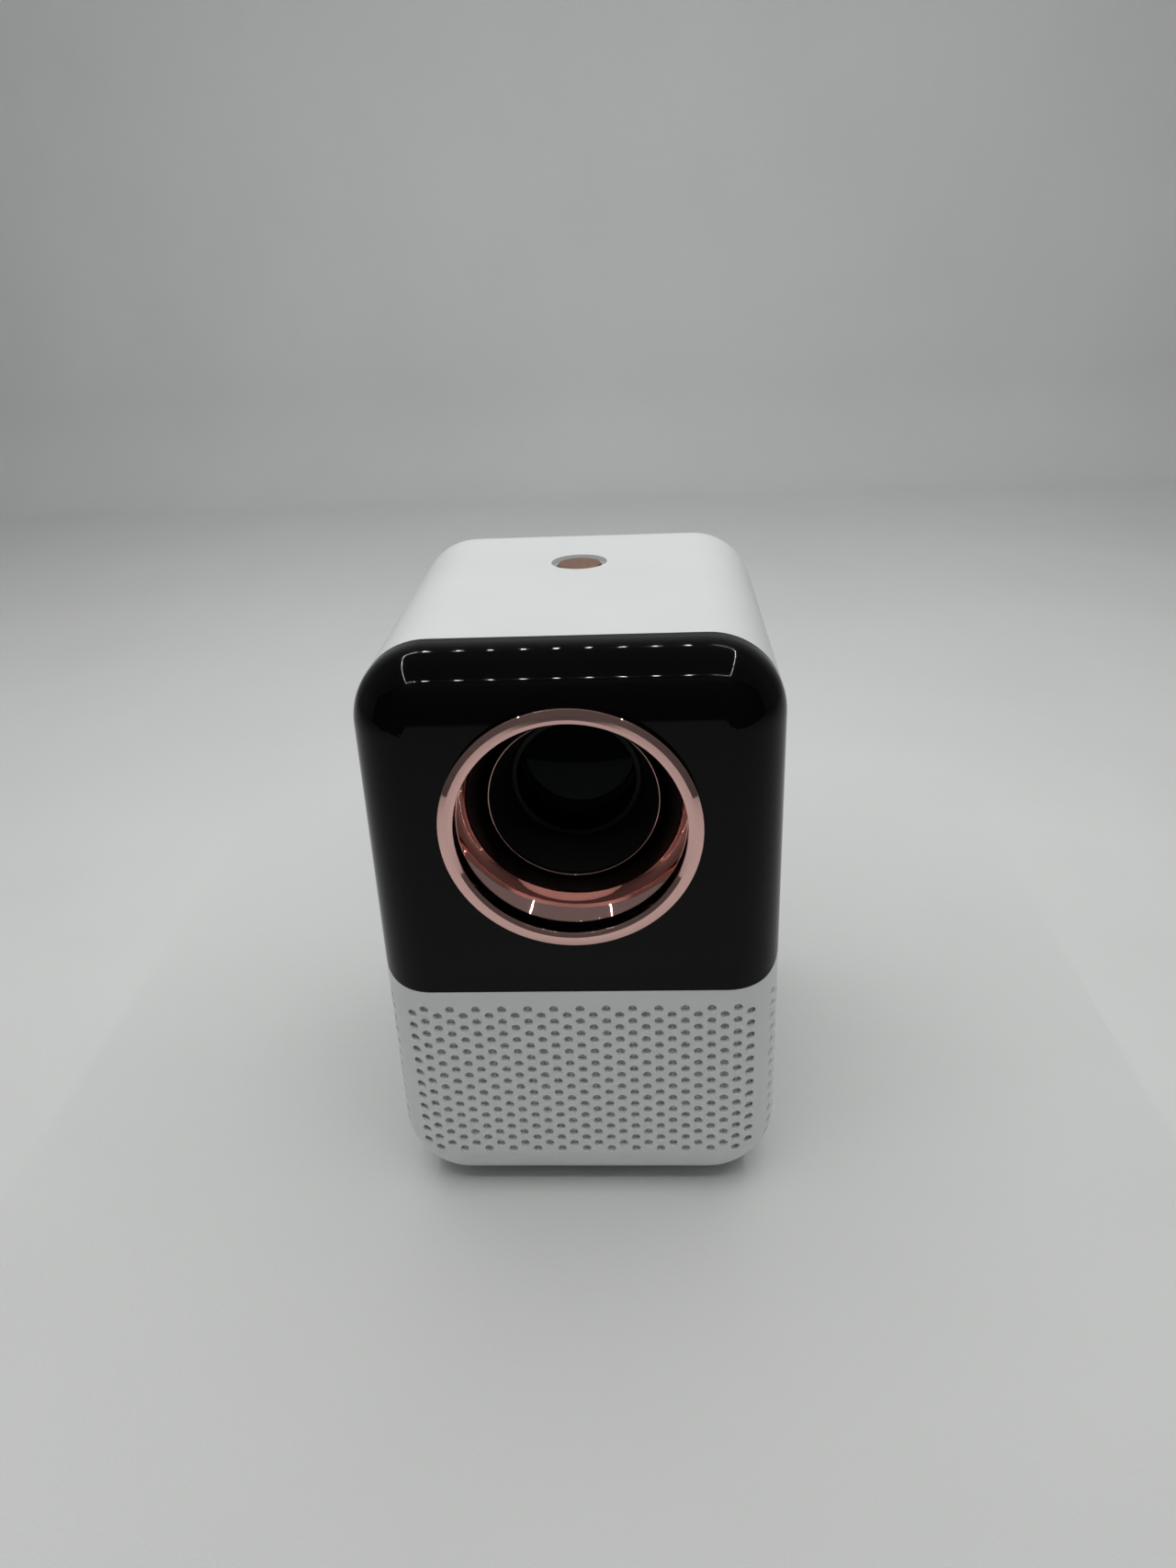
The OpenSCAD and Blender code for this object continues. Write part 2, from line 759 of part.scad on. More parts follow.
// A triangular prism, half of the light splitter
module prism_half() {
    w = 8.5;
    translate([0, 0, axis_z - w]) linear_extrude(2 * w)
        polygon([[-w, prism_y[0]], [w - 0.15, prism_y[0]], [-w, prism_y[1] - 0.15]]);
}

module prism() color(glass_tint) {
    prism_half();
    translate([0, prism_y[0] + prism_y[1], 0]) rotate([0, 0, 180]) prism_half();
}

module relay_lens() color(glass_tint)
    translate([-14, fold_y, axis_z]) rotate([0, 90, 0]) translate([0, 0, -2.5]) rotate_extrude()
        polygon([[0, -0.8], [5, -0.4], [8, 1], [8, 3.4], [5, 4.8], [0, 5.4]]);

module fold_mirror() color(steel)
    translate([channel_x - 2.5, fold_y - 2.5, axis_z]) rotate([0, 0, 45]) cube([1.5, 18, 18], center = true);

module fly_eye_lens() color(glass_tint) {
    translate([channel_x, engine_y[0] + 18.5, axis_z]) cube([15, 2, 15], center = true);
    for (i = [-2:2], j = [-2:2])
        rod_y(1.3, engine_y[0] + 17, engine_y[0] + 18, channel_x + i * 2.9, axis_z + j * 2.9);
}

module dichroic_plate() color("#6f8fd0")
    translate([channel_x, dichroic_y, axis_z]) rotate([0, 0, 45]) cube([1.1, 14, 16], center = true);

module collimator_lenses() color(glass_tint) {
    translate([channel_x, engine_y[1] - 3.6, axis_z]) rotate([90, 0, 0]) rotate_extrude()
        polygon([[0, -1], [6.6, -1], [6.6, 0], [4, 1.2], [0, 1.8]]);
    translate([engine_x[0] + 3.6, dichroic_y, axis_z]) rotate([0, 90, 0]) rotate_extrude()
        polygon([[0, -1], [6.6, -1], [6.6, 0], [4, 1.2], [0, 1.8]]);
}

// A lamp on its round board, facing +Z at the origin
module led() {
    translate([-9, -9, -2.4]) cube([18, 18, 1.6]);
    translate([0, 0, -0.8]) cylinder(h = 0.8, r = 4);
    translate([0, 0, -0.01]) cylinder(h = 0.9, r1 = 3, r2 = 2);
}

module green_led() color("#d8d8c8")
    translate([channel_x, engine_y[1] + 0.1, axis_z]) rotate([90, 0, 0]) led();

module red_blue_led() color("#d8d8c8")
    translate([engine_x[0] - 0.1, dichroic_y, axis_z]) rotate([0, 90, 0]) led();

module led_blocks() color(copper) {
    y0 = engine_y[1] + 2.55;
    x1 = engine_x[0] - 2.55;
    difference() {
        block([channel_x - 10, y0, axis_z - 9], [channel_x + 10, y0 + led_block_t, axis_z + 9]);
        for (s = [-1, 1]) rod_z(pipe_r + 0.02, axis_z - 10, axis_z + 7, channel_x + s * 5.5, pipe_y);
    }
    difference() {
        block([x1 - led_block_t, dichroic_y - 9, axis_z - 9], [x1, dichroic_y + 9, axis_z + 9]);
        rod_z(pipe_r + 0.02, axis_z - 10, axis_z + 7, x1 - led_block_t / 2, dichroic_y);
    }
}

module heat_pipes() color(copper) {
    for (s = [-1, 1]) rod_z(pipe_r, sink_z[1] - 3, axis_z + 6.5, channel_x + s * 5.5, pipe_y);
    rod_z(pipe_r, sink_z[1] - 3, axis_z + 6.5, engine_x[0] - 2.55 - led_block_t / 2, dichroic_y);
}

module heatsink() color(alloy) {
    base_z = sink_z[1] - sink_base_t;
    pipe_x = engine_x[0] - 2.55 - led_block_t / 2;
    difference() {
        union() {
            block([pipe_x - 2.7, sink_y[0], base_z], [26, sink_y[1], sink_z[1]]);
            // posts that hang it from the deck
            for (x = [-40, 21], y = [sink_y[0] + 4, sink_y[1] - 4]) rod_z(3, base_z + 1, deck_z, x, y);
            for (i = [-6:6])
                block([i * 4.2 - 0.6, sink_y[0], sink_z[0]], [i * 4.2 + 0.6, sink_y[1], base_z + 1]);
        }
        for (s = [-1, 1]) rod_z(pipe_r + 0.02, sink_z[1] - 3, far, channel_x + s * 5.5, pipe_y);
        rod_z(pipe_r + 0.02, sink_z[1] - 3, far, pipe_x, dichroic_y);
    }
}

module dmd_chip() color("#55585c") {
    block([-6.5, dmd_y - 1.9, axis_z - 5], [6.5, dmd_y, axis_z + 5]);
}

module dmd_board() color(board_green) {
    block([-9.5, dmd_y + 0.05, axis_z - 13], [17, dmd_y + 1.65, axis_z + 13]);
    block([10, dmd_y + 1.6, axis_z - 12], [16, dmd_y + 4.2, axis_z - 7]);
}

module dmd_heatsink() color(alloy) {
    y = dmd_y + 1.7;
    block([-8, y, axis_z - 6], [8, y + 1.5, axis_z + 10]);
    for (i = [0:4]) block([-8 + i * 3.7, y + 1, axis_z - 6], [-6.8 + i * 3.7, y + 8, axis_z + 10]);
}

// ---------- chassis, boards and ports ----------

module chassis() color(steel) {
    difference() {
        union() {
            block([-44, bulkhead_y, deck_z], [44, fan_wall_y + sheet, deck_z + sheet]);
            block([-33, bulkhead_y, floor_z], [33, bulkhead_y + sheet, deck_z + 1]);
            block([-33, fan_wall_y, floor_z], [33, fan_wall_y + sheet, deck_z + 1]);
            for (s = [-1, 1]) {
                x = s * tab_x;
                block([x - 3, bulkhead_y, floor_z], [x + 3, tab_y[0] + 3.5, floor_z + sheet]);
                block([x - 3, tab_y[1] - 3.5, floor_z], [x + 3, fan_wall_y + sheet, floor_z + sheet]);
            }
        }
        // space for the main board under the fan wall
        block([-26.7, fan_wall_y - 1, 0], [26.7, fan_wall_y + 3, fan_z - fan_size / 2 + 2]);
        rod_y(duct_r, fan_wall_y - 1, fan_wall_y + 3, 0, fan_z);
        // lightening window in the front bulkhead
        block([-22, bulkhead_y - 1, 24], [22, bulkhead_y + 3, 60]);
        for (s = [-1, 1]) rod_z(pipe_r + 0.5, deck_z - 1, far, channel_x + s * 5.5, pipe_y);
        for (s = [-1, 1], y = tab_y) rod_z(screw_r - 0.2, 0, floor_z + 3, s * tab_x, y);
    }
}

module driver_board() color(board_green) {
    difference() {
        union() {
            block([-20, bulkhead_y, deck_z + 6], [38, 30, deck_z + 6 + board_t]);
            for (x = [-16, 34], y = [-10, 26]) rod_z(2.5, deck_z + sheet, deck_z + 6.5, x, y);
        }
        for (p = [[engine_x[1] - 3, engine_y[0] + 3], [-13, engine_y[1] - 3]])
            rod_z(4, deck_z + 5, deck_z + 10, p[0], p[1]);
    }
}

module main_board() color(board_green) {
    difference() {
        block([-26, board_y[0], board_z], [26, board_y[1], board_top]);
        for (s = [-1, 1], y = [12, 34]) rod_z(1.6, 0, far, s * 22, y);
    }
    for (s = [-1, 1], y = [12, 34]) rod_z(1.5, floor_z, board_z + 0.1, s * 22, y);
}

module board_chips() color("#232427") {
    block([-8, 16, board_top], [8, 32, board_top + 1.4]);
    block([12, 14, board_top], [21, 26, board_top + 1.2]);
    block([-21, 18, board_top], [-12, 30, board_top + 1.2]);
    for (i = [0:2]) block([-19 + i * 9, 38, board_top], [-13 + i * 9, 44, board_top + 3.5]);
    for (i = [0:1]) rod_z(3, board_top, board_top + 8, 14 + i * 8, 38);
    block([0, -4, deck_z + 6 + board_t], [12, 8, deck_z + 7.2 + board_t]);
    block([20, -2, deck_z + 6 + board_t], [32, 10, deck_z + 12 + board_t]);
}

// A socket's metal shell with a tongue inside
module socket(x, w, h, tongue_w, tongue_z) {
    y0 = board_y[1] - 8;
    translate([x, 0, board_top]) {
        difference() {
            block([-w / 2, y0, 0], [w / 2, back_y - 0.2, h]);
            block([-w / 2 + 0.5, y0 + 2, 0.5], [w / 2 - 0.5, back_y, h - 0.5]);
        }
        block([-tongue_w / 2, y0 + 1.5, tongue_z], [tongue_w / 2, back_y - 1.4, tongue_z + 1.2]);
    }
}

module hdmi_port() color(steel) socket(hdmi_x, 15, 5.6, 11, 2.6);

module usb_port() color(steel) socket(usb_x, 13.2, 6.4, 10.6, 3.6);

module audio_jack() color(matte_black) {
    y0 = board_y[1] - 10;
    difference() {
        union() {
            block([audio_x - 3, y0, board_top], [audio_x + 3, back_y - wall - 0.2, board_top + 5.6]);
            rod_y(2.9, back_y - wall - 1, back_y - 0.1, audio_x, audio_z);
        }
        rod_y(1.8, y0 + 1, back_y + 1, audio_x, audio_z);
    }
}

module dc_jack() color(matte_black) {
    y0 = board_y[1] - 10;
    difference() {
        block([dc_x - 4.5, y0, board_top], [dc_x + 4.5, back_y - wall - 0.2, board_top + 11]);
        rod_y(2.9, y0 + 2, back_y + 1, dc_x, dc_z);
    }
    rod_y(1, y0 + 1, back_y - wall - 1.2, dc_x, dc_z);
}

// ---------- speaker ----------

module speaker_box() color(matte_black) {
    t = 2;
    y0 = speaker_y;
    y1 = bulkhead_y - 0.5;
    difference() {
        union() {
            block([-40, y0, 17], [40, y1, 67]);
            for (s = [-1, 1], y = [y0 + 15, y1 - 5]) rod_z(4, floor_z, 18, s * 17, y);
        }
        block([-40 + t, y0 + t, 17 + t], [40 - t, y1 - t, 67 - t]);
        rod_y(22, y0 - 1, y0 + t + 1, 0, speaker_z);
    }
}

module speaker_basket() color(steel) {
    y = speaker_y;
    translate([0, 0, speaker_z]) rotate([-90, 0, 0]) rotate_extrude() polygon([
        [21.4, y - 1.5], [24.5, y - 1.5], [24.5, y - 0.05], [21.9, y - 0.05], [19.5, y + 8],
        [15.4, y + 15], [15.4, y + 16], [6.5, y + 16], [6.5, y + 15], [14, y + 15], [19, y + 7]
    ]);
}

module speaker_magnet() color("#3a3b3d") {
    y = speaker_y + 16;
    difference() {
        union() {
            rod_y(15, y + 0.02, y + 8, 0, speaker_z);
            rod_y(14, y + 7.9, y + 10, 0, speaker_z);
        }
        rod_y(6.6, y - 1, y + 7, 0, speaker_z);
    }
    rod_y(5.4, y - 0.5, y + 7.1, 0, speaker_z);
}

module speaker_cone() color("#26272a") {
    y = speaker_y;
    translate([0, 0, speaker_z]) rotate([-90, 0, 0]) rotate_extrude() polygon([
        [0, y + 3.4], [3, y + 3.8], [6.2, y + 6.4], [cone_r - 2, y + 0.6], [cone_r - 1.2, y - 0.6],
        [cone_r, y - 1.1], [cone_r + 1.2, y - 0.9], [20.9, y + 0.1], [20.78, y + 0.6],
        [cone_r + 1.2, y - 0.3], [cone_r - 0.6, y + 0.2], [cone_r - 1.4, y + 1.4],
        [6.3, y + 7.4], [6.3, y + 20], [5.9, y + 20], [5.9, y + 7], [3, y + 4.6], [0, y + 4.2]
    ]);
}

// ---------- fan ----------

module fan_frame() color(matte_black) {
    h = fan_size / 2;
    difference() {
        union() {
            difference() {
                block([-h, fan_y[0], fan_z - h], [h, fan_y[1], fan_z + h]);
                rod_y(duct_r, fan_y[0] - 1, fan_y[1] + 1, 0, fan_z);
            }
            // the hub plate on its struts, with the bearing tube
            rod_y(hub_r, fan_y[1] - 2, fan_y[1], 0, fan_z);
            rod_y(3.2, fan_y[1] - 9, fan_y[1] - 1, 0, fan_z);
            for (a = [35, 125, 215, 305]) translate([0, 0, fan_z]) rotate([0, a, 0])
                block([hub_r - 1, fan_y[1] - 2, -1], [duct_r + 0.5, fan_y[1], 1]);
        }
        rod_y(1.5 + run_gap, fan_y[1] - 10, fan_y[1] - 1, 0, fan_z);
        for (sx = [-1, 1], sz = [-1, 1]) rod_y(2, fan_y[0] - 1, fan_y[1] + 1, sx * 20, fan_z + sz * 20);
    }
}

module fan_rotor() color("#303134") {
    y0 = fan_y[0] + 1;
    y1 = fan_y[1] - 2.6;
    intersection() {
        for (i = [0:blades - 1]) translate([0, (y0 + y1) / 2, fan_z]) rotate([0, i * 360 / blades, 0])
            rotate([38, 0, 0]) block([hub_r - 0.6, -9, -0.6], [duct_r + 3, 9, 0.6]);
        rod_y(duct_r - 0.7, y0 + 0.3, y1 - 0.3, 0, fan_z);
    }
    difference() {
        rod_y(hub_r, y0, y1, 0, fan_z);
        rod_y(hub_r - 1.6, y0 + 1.6, y1 + 1, 0, fan_z);
    }
    difference() {
        rod_y(3, y0 + 1, y0 + 3.4, 0, fan_z);
        rod_y(1.5, y0 + 0.9, y1, 0, fan_z);
    }
}

module fan_shaft() color(steel) rod_y(1.5, fan_y[0] + 2.6, fan_y[1] - 1.2, 0, fan_z);

// ---------- power button ----------

module power_button() color(copper) {
    r = button_d / 2;
    translate([0, button_y, 0]) rotate_extrude() polygon([
        [0, cap_low], [r + 1.2, cap_low], [r + 1.2, cap_low + 1.2], [r, cap_low + 1.2],
        [r, button_top - 0.3], [r - 0.3, button_top], [0, button_top]
    ]);
}

module switch_plunger() color("#d8d8d8") rod_z(1.7, switch_top - 1.6, cap_low, 0, button_y);

module button_bezel() color(plastic_grey) {
    outer = recess_d / 2 - 0.05;
    inner = button_d / 2 + button_gap;
    under = top_z - wall - 0.1;
    translate([0, button_y, 0]) rotate_extrude() polygon([
        [inner, bezel_top], [outer, bezel_top], [outer, under], [outer + 2.5, under],
        [outer + 2.5, under - 1.4], [inner, under - 1.4]
    ]);
}

module button_board() color(board_green) {
    difference() {
        union() {
            block([-15, button_y - 9, switch_top - 5.1], [15, button_y + 9, switch_top - 3.5]);
            block([-3, button_y - 3, switch_top - 3.6], [3, button_y + 3, switch_top]);
            // posts up to the casing's top wall
            for (s = [-1, 1]) rod_z(2, switch_top - 3.6, top_z - wall, s * 13, button_y);
        }
        rod_z(1.7 + 0.15, switch_top - 2.3, switch_top + 1, 0, button_y);
    }
}

main_shell();
front_panel();
rear_cover();
base_plate();
front_grille();
side_grille(-1);  // left_grille
side_grille(1);  // right_grille
grille_cloth();
rubber_feet();
tripod_insert();
base_screws();
rear_screws();
lens_ring();
lens_bowl();
lens_barrel();
cam_pins();
front_lens();
middle_lens();
rear_lens();
lens_mount();
focus_ring();
retainer_ring();
focus_motor();
motor_shaft();
focus_pinion();
engine_housing();
engine_cover();
prism();
relay_lens();
fold_mirror();
fly_eye_lens();
dichroic_plate();
collimator_lenses();
green_led();
red_blue_led();
led_blocks();
heat_pipes();
heatsink();
dmd_chip();
dmd_board();
dmd_heatsink();
chassis();
driver_board();
main_board();
board_chips();
hdmi_port();
usb_port();
audio_jack();
dc_jack();
speaker_box();
speaker_basket();
speaker_magnet();
speaker_cone();
fan_frame();
fan_rotor();
fan_shaft();
power_button();
switch_plunger();
button_bezel();
button_board();
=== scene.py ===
import json
import math

import bpy
from mathutils import Matrix, Vector


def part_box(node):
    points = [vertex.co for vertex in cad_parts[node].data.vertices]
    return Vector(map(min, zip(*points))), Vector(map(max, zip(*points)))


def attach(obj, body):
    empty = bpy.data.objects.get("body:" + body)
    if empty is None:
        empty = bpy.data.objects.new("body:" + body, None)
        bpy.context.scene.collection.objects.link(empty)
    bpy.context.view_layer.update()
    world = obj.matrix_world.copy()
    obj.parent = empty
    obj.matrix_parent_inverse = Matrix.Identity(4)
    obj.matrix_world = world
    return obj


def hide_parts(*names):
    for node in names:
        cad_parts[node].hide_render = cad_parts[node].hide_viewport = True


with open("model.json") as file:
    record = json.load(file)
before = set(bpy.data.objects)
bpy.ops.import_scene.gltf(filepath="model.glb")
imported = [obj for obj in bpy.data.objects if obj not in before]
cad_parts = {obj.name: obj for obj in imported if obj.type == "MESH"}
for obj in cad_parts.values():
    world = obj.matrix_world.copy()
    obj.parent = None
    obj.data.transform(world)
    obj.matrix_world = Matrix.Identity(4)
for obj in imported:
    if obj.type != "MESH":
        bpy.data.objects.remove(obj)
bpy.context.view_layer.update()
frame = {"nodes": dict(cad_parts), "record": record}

MM = 0.001
NODES = frame["nodes"]

lens_low, lens_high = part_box("lens_ring")
LENS_Z = (lens_low.z + lens_high.z) / 2
THROAT_R = 21.9 * MM

CAMERA_PLACE = (0.01943, -0.30604, 0.25031)
CAMERA_ANGLES = (3.415, 25.776, 2.529)
CAMERA_LENS, CAMERA_SENSOR = 26.34, 36
FLOOR_FRONT, WALL_Y = -0.40, 0.98

ROSE_GOLD = (0.78, 0.49, 0.45)


# ---------- camera ----------

def rotation_z(angle):
    return Matrix.Rotation(angle, 3, "Z")


def make_camera():
    """A hand-held view from above the front, turned a little and tilted."""
    yaw, pitch, roll = (math.radians(a) for a in CAMERA_ANGLES)
    forward = rotation_z(yaw) @ Vector((0, math.cos(pitch), -math.sin(pitch)))
    right = rotation_z(yaw) @ Vector((1, 0, 0))
    down = forward.cross(right)
    image_right = math.cos(roll) * right + math.sin(roll) * down
    image_down = math.cos(roll) * down - math.sin(roll) * right
    data = bpy.data.cameras.new("camera")
    data.lens = CAMERA_LENS
    data.sensor_width = CAMERA_SENSOR
    data.clip_start = 0.01
    data.clip_end = 20
    camera = bpy.data.objects.new("camera", data)
    turn = Matrix((image_right, -image_down, -forward)).transposed().to_4x4()
    camera.matrix_world = Matrix.Translation(CAMERA_PLACE) @ turn
    bpy.context.scene.collection.objects.link(camera)
    bpy.context.scene.camera = camera


# ---------- mesh helpers ----------

def mesh_object(name, vertices, faces, smooth=False):
    mesh = bpy.data.meshes.new(name)
    mesh.from_pydata(vertices, [], faces)
    mesh.update()
    if smooth:
        mesh.polygons.foreach_set("use_smooth", [True] * len(mesh.polygons))
    obj = bpy.data.objects.new(name, mesh)
    bpy.context.scene.collection.objects.link(obj)
    return obj


def lathe(name, section, axis_z, steps=192):
    """A closed section of (radius, y) points turned about the lens axis."""
    vertices, faces, rings = [], [], []
    for radius, y in section:
        count = 1 if radius == 0 else steps
        rings.append([len(vertices) + i % count for i in range(steps)])
        for i in range(count):
            a = 2 * math.pi * i / steps
            vertices.append((radius * math.cos(a), y, axis_z + radius * math.sin(a)))
    for k, ring in enumerate(rings):
        after = rings[(k + 1) % len(rings)]
        for i in range(steps):
            j = (i + 1) % steps
            corners = [ring[i], ring[j], after[j], after[i]]
            face = [c for n, c in enumerate(corners) if c not in corners[:n]]
            if len(face) > 2:
                faces.append(face)
    obj = mesh_object(name, vertices, faces, smooth=True)
    obj.data.set_sharp_from_angle(angle=math.radians(35))
    return obj


def arc(centre, radius, start, end, steps):
    """Points of (radius, y) on an arc, with its angles in degrees from +radius towards +y."""
    points = []
    for i in range(steps + 1):
        a = math.radians(start + (end - start) * i / steps)
        points.append((centre[0] + radius * math.cos(a), centre[1] + radius * math.sin(a)))
    return points


# ---------- material helpers ----------

class Shader:
    """A Principled material with short ways to add procedural variation."""

    def __init__(self, name, color, roughness, metallic=0.0, ior=1.5):
        self.material = bpy.data.materials.new(name)
        self.material.use_nodes = True
        self.tree = self.material.node_tree
        self.bsdf = self.tree.nodes["Principled BSDF"]
        self.set("Base Color", (*color, 1))
        self.set("Roughness", roughness)
        self.set("Metallic", metallic)
        self.set("IOR", ior)
        self.coords = None
        self.normal = None

    def set(self, socket, value):
        self.bsdf.inputs[socket].default_value = value

    def node(self, kind, **values):
        made = self.tree.nodes.new(kind)
        for key, value in values.items():
            if key in made.inputs:
                made.inputs[key].default_value = value
            else:
                setattr(made, key, value)
        return made

    def link(self, source, target):
        self.tree.links.new(source, target)

    def place(self, scale=(1, 1, 1), rotation=(0, 0, 0)):
        """Object coordinates, scaled."""
        if self.coords is None:
            self.coords = self.node("ShaderNodeTexCoord")
        mapping = self.node("ShaderNodeMapping")
        mapping.inputs["Scale"].default_value = scale
        mapping.inputs["Rotation"].default_value = rotation
        self.link(self.coords.outputs["Object"], mapping.inputs["Vector"])
        return mapping.outputs["Vector"]

    def noise(self, scale, detail=3.0, stretch=(1, 1, 1), roughness=0.5):
        made = self.node("ShaderNodeTexNoise", Scale=scale, Detail=detail, Roughness=roughness)
        self.link(self.place(stretch), made.inputs["Vector"])
        return made.outputs["Fac"]

    def ramp(self, source, low, high, start=0.3, end=0.7):
        made = self.node("ShaderNodeMapRange")
        for key, value in (("From Min", start), ("From Max", end), ("To Min", low), ("To Max", high)):
            made.inputs[key].default_value = value
        self.link(source, made.inputs["Value"])
        return made.outputs["Result"]

    def vary_color(self, source, dark, light, start=0.3, end=0.7):
        mix = self.node("ShaderNodeMix", data_type="RGBA")
        sockets = [socket for socket in mix.inputs if socket.type == "RGBA"]
        for socket, color in zip(sockets, (dark, light)):
            socket.default_value = (*color, 1)
        self.link(self.ramp(source, 0, 1, start, end), mix.inputs["Factor"])
        mixed = next(socket for socket in mix.outputs if socket.type == "RGBA")
        self.link(mixed, self.bsdf.inputs["Base Color"])

    def vary_roughness(self, source, low, high, start=0.3, end=0.7):
        self.link(self.ramp(source, low, high, start, end), self.bsdf.inputs["Roughness"])

    def bump(self, source, height, strength=1.0):
        """Height is in metres."""
        made = self.node("ShaderNodeBump", Strength=strength, Distance=height)
        self.link(source, made.inputs["Height"])
        if self.normal is not None:
            self.link(self.normal, made.inputs["Normal"])
        self.normal = made.outputs["Normal"]
        self.link(self.normal, self.bsdf.inputs["Normal"])

    def soft_edges(self, radius):
        made = self.node("ShaderNodeBevel", Radius=radius, samples=4)
        self.normal = made.outputs["Normal"]
        self.link(self.normal, self.bsdf.inputs["Normal"])


def moulded(name, color, roughness, grain=2600, height=0.00002, spread=0.05, ior=1.45, edge=None):
    """Moulded plastic: a fine grain, with slightly uneven gloss and colour."""
    s = Shader(name, color, roughness, ior=ior)
    if edge:
        s.soft_edges(edge)
    s.vary_roughness(s.noise(60, 4), roughness - spread, roughness + spread)
    s.vary_color(s.noise(35, 2), [c * 0.975 for c in color], [min(1, c * 1.015) for c in color])
    s.bump(s.noise(grain, 2), height)
    return s.material


def brushed(name, color, roughness, stretch=(1, 1, 30), scale=500, metallic=1.0, edge=None):
    """Rolled or brushed metal with fine lines."""
    s = Shader(name, color, roughness, metallic=metallic)
    if edge:
        s.soft_edges(edge)
    lines = s.noise(scale, 4, stretch)
    s.vary_roughness(lines, roughness * 0.75, roughness * 1.35)
    s.vary_color(s.noise(90, 3), [c * 0.9 for c in color], color)
    s.bump(lines, 0.000006)
    return s.material


def spun(name, color, roughness, scale, height, spread):
    """Metal turned about the lens axis: rings of fine lines round it."""
    s = Shader(name, color, roughness, metallic=1.0)
    s.soft_edges(0.00025)
    coords = s.node("ShaderNodeTexCoord")
    shift = s.node("ShaderNodeVectorMath", operation="SUBTRACT")
    shift.inputs[1].default_value = (0, 0, LENS_Z)
    s.link(coords.outputs["Object"], shift.inputs[0])
    flat = s.node("ShaderNodeVectorMath", operation="MULTIPLY")
    flat.inputs[1].default_value = (1, 0, 1)
    s.link(shift.outputs[0], flat.inputs[0])
    length = s.node("ShaderNodeVectorMath", operation="LENGTH")
    s.link(flat.outputs[0], length.inputs[0])
    noise = s.node("ShaderNodeTexNoise", noise_dimensions="1D", Scale=1, Detail=3)
    scaled = s.node("ShaderNodeMath", operation="MULTIPLY")
    scaled.inputs[1].default_value = scale
    s.link(length.outputs["Value"], scaled.inputs[0])
    s.link(scaled.outputs[0], noise.inputs["W"])
    rings = noise.outputs["Fac"]
    s.vary_roughness(rings, roughness - spread, roughness + spread)
    s.vary_color(s.noise(60, 2), [c * 0.96 for c in color], color)
    s.bump(rings, height)
    return s


def fibre_board(name, color):
    s = Shader(name, color, 0.35)
    s.set("Coat Weight", 0.4)
    s.vary_color(s.noise(450, 2), [c * 0.7 for c in color], [c * 1.25 for c in color])
    weave = s.node("ShaderNodeTexWave", Scale=350, Distortion=3)
    s.link(s.place(), weave.inputs["Vector"])
    s.bump(weave.outputs["Fac"], 0.00001)
    return s.material


def woven(name, color, threads=1500):
    """Plain-weave cloth: crossed waves for the threads."""
    s = Shader(name, color, 0.85)
    s.set("Sheen Weight", 0.3)
    heights = []
    for rotation in ((0, 0, 0), (0, math.radians(90), 0)):
        wave = s.node("ShaderNodeTexWave", Scale=threads / 6.2832, wave_profile="SIN")
        s.link(s.place(rotation=rotation), wave.inputs["Vector"])
        heights.append(wave.outputs["Fac"])
    both = s.node("ShaderNodeMath", operation="MULTIPLY")
    s.link(heights[0], both.inputs[0])
    s.link(heights[1], both.inputs[1])
    s.vary_color(both.outputs[0], [c * 0.6 for c in color], color, 0.0, 0.6)
    s.bump(both.outputs[0], 0.00015)
    return s.material


def optical_glass(name, tint, roughness=0.02):
    s = Shader(name, tint, roughness, ior=1.52)
    s.set("Transmission Weight", 1.0)
    s.set("Coat Weight", 0.3)
    s.vary_roughness(s.noise(120, 3), roughness, roughness + 0.02)
    return s.material


# ---------- the object's materials ----------

def shell_white():
    s = Shader("white_shell", (0.76, 0.785, 0.78), 0.33, ior=1.46)
    s.set("Subsurface Weight", 0.04)
    s.set("Subsurface Radius", (0.002, 0.002, 0.002))
    s.vary_roughness(s.noise(45, 4), 0.26, 0.38, 0.0, 1.0)
    s.vary_color(s.noise(30, 2), (0.74, 0.761, 0.756), (0.78, 0.806, 0.801), 0.0, 1.0)
    s.bump(s.noise(2400, 2), 0.00001)
    return s.material


def panel_black():
    s = Shader("piano_black", (0.0012, 0.0012, 0.0014), 0.04, ior=1.24)
    s.vary_roughness(s.noise(70, 5), 0.02, 0.045, 0.35, 0.75)
    s.vary_color(s.noise(25, 2), (0.0008, 0.0008, 0.0009), (0.0016, 0.0016, 0.0018))
    s.bump(s.noise(90, 1), 0.00001, 0.3)
    return s.material


def ring_satin():
    s = spun("rose_satin", ROSE_GOLD, 0.045, 9000, 0.0000006, 0.012)
    return s.material


def bowl_polished():
    s = spun("rose_polished", ROSE_GOLD, 0.035, 4000, 0.0000005, 0.01)
    s.bump(s.noise(420, 2), 0.000012, 0.5)
    return s.material


def lens_front_glass():
    s = Shader("coated_glass", (0.0006, 0.0012, 0.0012), 0.03, ior=1.16)
    s.set("Specular Tint", (0.75, 1.0, 0.9, 1))
    s.vary_roughness(s.noise(150, 3), 0.02, 0.05)
    s.vary_color(s.noise(60, 1), (0.0004, 0.001, 0.001), (0.001, 0.0018, 0.0016))
    return s.material


def button_copper():
    s = Shader("button_copper", (0.40, 0.215, 0.145), 0.4, metallic=0.85)
    s.soft_edges(0.0002)
    s.vary_roughness(s.noise(900, 3), 0.3, 0.42)
    s.vary_color(s.noise(300, 3), (0.37, 0.2, 0.133), (0.43, 0.232, 0.157))
    s.bump(s.noise(5000, 2), 0.000008)
    return s.material


